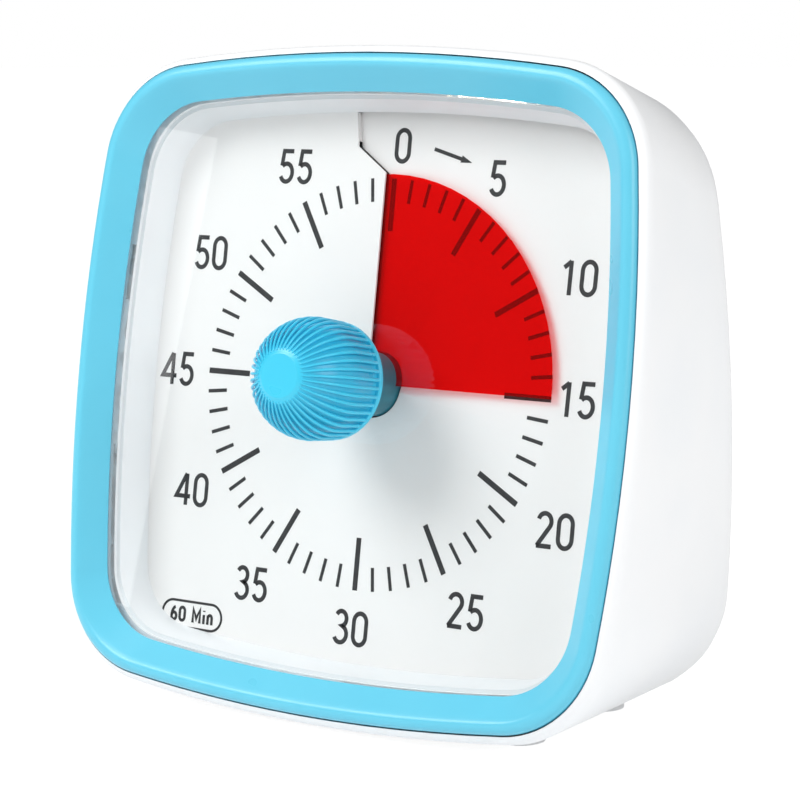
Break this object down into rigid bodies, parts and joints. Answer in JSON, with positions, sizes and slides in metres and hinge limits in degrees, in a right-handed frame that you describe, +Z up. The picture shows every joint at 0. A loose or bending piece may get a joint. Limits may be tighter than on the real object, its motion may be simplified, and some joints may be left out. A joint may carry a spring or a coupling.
{
  "type": "visual countdown timer",
  "caption": "Desk countdown timer with a ribbed centre knob, a red disc that uncovers the remaining minutes, a clear window and a leaning wedge casing.",
  "frame": {"origin": "middle of the part's footprint, on the surface the four feet stand on", "axes": "+X to the right seen from the front, +Y from the dial towards the back, +Z up"},
  "size_m": [0.1304, 0.0758, 0.1289],
  "materials": {
    "casing": "moulded, fine matte",
    "bezel": "moulded, satin gloss",
    "knob": "moulded ribs, satin",
    "sleeve": "moulded, satin",
    "lens": "clear moulded window",
    "dial": "printed sheet",
    "film": "translucent red film",
    "inner_white": "moulded",
    "lamp_window": "frosted diffuser",
    "lamps": "board with light chips",
    "rubber": "soft pads",
    "movement_plastic": "moulded",
    "gear_plastic": "moulded acetal",
    "steel": "bright steel",
    "brass": "turned",
    "copper": "enamelled wire",
    "magnet": "sintered magnet",
    "board": "glass epoxy",
    "chip": "moulded epoxy",
    "cell": "plain jacket"
  },
  "bodies": {
    "timer_body": {"housing": "casing", "rubber_feet": "rubber", "bezel": "bezel", "lens": "lens", "inner_frame": "inner_white", "night_light_window": "lamp_window", "night_light_lamps": "lamps", "dial_plate": "dial", "shaft_bush": "brass", "chassis": "inner_white", "chassis_screws": "steel", "movement_front_case": "movement_plastic", "movement_rear_case": "movement_plastic", "movement_screws": "steel", "stator": "steel", "coil_bobbin": "movement_plastic", "coil_winding": "copper", "rear_cover": "casing", "cover_screws": "steel", "battery_upper": "cell", "battery_lower": "cell", "battery_contacts": "steel", "battery_springs": "steel", "circuit_board": "board", "board_screws": "steel", "button_switch": "chip", "sound_switch": "steel", "buzzer": "brass", "timer_chip": "chip", "quartz_crystal": "steel"},
    "knob_arbor": {"knob": "knob", "knob_shaft": "steel", "clutch_washer": "steel"},
    "disc_carrier": {"timer_disc": "film", "disc_sleeve": "sleeve"},
    "centre_wheel": {"centre_wheel": "gear_plastic"},
    "third_wheel": {"third_wheel": "gear_plastic"},
    "second_wheel": {"second_wheel": "gear_plastic"},
    "rotor": {"rotor": "gear_plastic", "rotor_magnet": "magnet"},
    "battery_door": {"battery_door": "casing"},
    "light_button": {"light_button": "bezel"},
    "sound_slider": {"sound_slider": "bezel"}
  },
  "joints": [
    {"name": "knob_turn", "type": "hinge", "parent": "timer_body", "child": "knob_arbor", "pos_m": [0, -0.00723, 0.064], "axis": [0, 0.9877, -0.1564], "range_deg": [-90, 270]},
    {"name": "disc_lift", "type": "slide", "parent": "knob_arbor", "child": "disc_carrier", "axis": [0, -0.9877, 0.1564], "range_m": [-0.0018, 0.0054]},
    {"name": "rotor_spin", "type": "hinge", "parent": "timer_body", "child": "rotor", "pos_m": [-0.00316, -0.00509, 0.07751], "axis": [0, 0.9877, -0.1564], "continuous": true},
    {"name": "second_wheel_spin", "type": "hinge", "parent": "timer_body", "child": "second_wheel", "pos_m": [-0.01494, -0.00595, 0.07208], "axis": [0, 0.9877, -0.1564], "continuous": true},
    {"name": "third_wheel_spin", "type": "hinge", "parent": "timer_body", "child": "third_wheel", "pos_m": [-0.01269, -0.00795, 0.05944], "axis": [0, 0.9877, -0.1564], "continuous": true},
    {"name": "centre_wheel_spin", "type": "hinge", "parent": "timer_body", "child": "centre_wheel", "pos_m": [0, -0.00723, 0.064], "axis": [0, 0.9877, -0.1564], "continuous": true},
    {"name": "battery_door_tilt", "type": "hinge", "parent": "timer_body", "child": "battery_door", "pos_m": [0, 0.03603, 0.02374], "axis": [-1, 0, 0], "range_deg": [0, 100]},
    {"name": "light_button_press", "type": "slide", "parent": "timer_body", "child": "light_button", "axis": [0, -0.9907, -0.1357], "range_m": [0, 0.0005], "stiffness_N_per_m": 400, "springref_m": -0.0005},
    {"name": "sound_slider_move", "type": "slide", "parent": "timer_body", "child": "sound_slider", "axis": [-1, 0, 0], "range_m": [-0.002, 0.002]}
  ],
  "couplings": [
    {"joint": "knob_turn", "follows": "disc_lift", "rad_per_m": 872.66},
    {"joint": "second_wheel_spin", "follows": "rotor_spin", "ratio": -0.083333},
    {"joint": "third_wheel_spin", "follows": "rotor_spin", "ratio": 0.0069444},
    {"joint": "centre_wheel_spin", "follows": "rotor_spin", "ratio": -0.00055556}
  ]
}
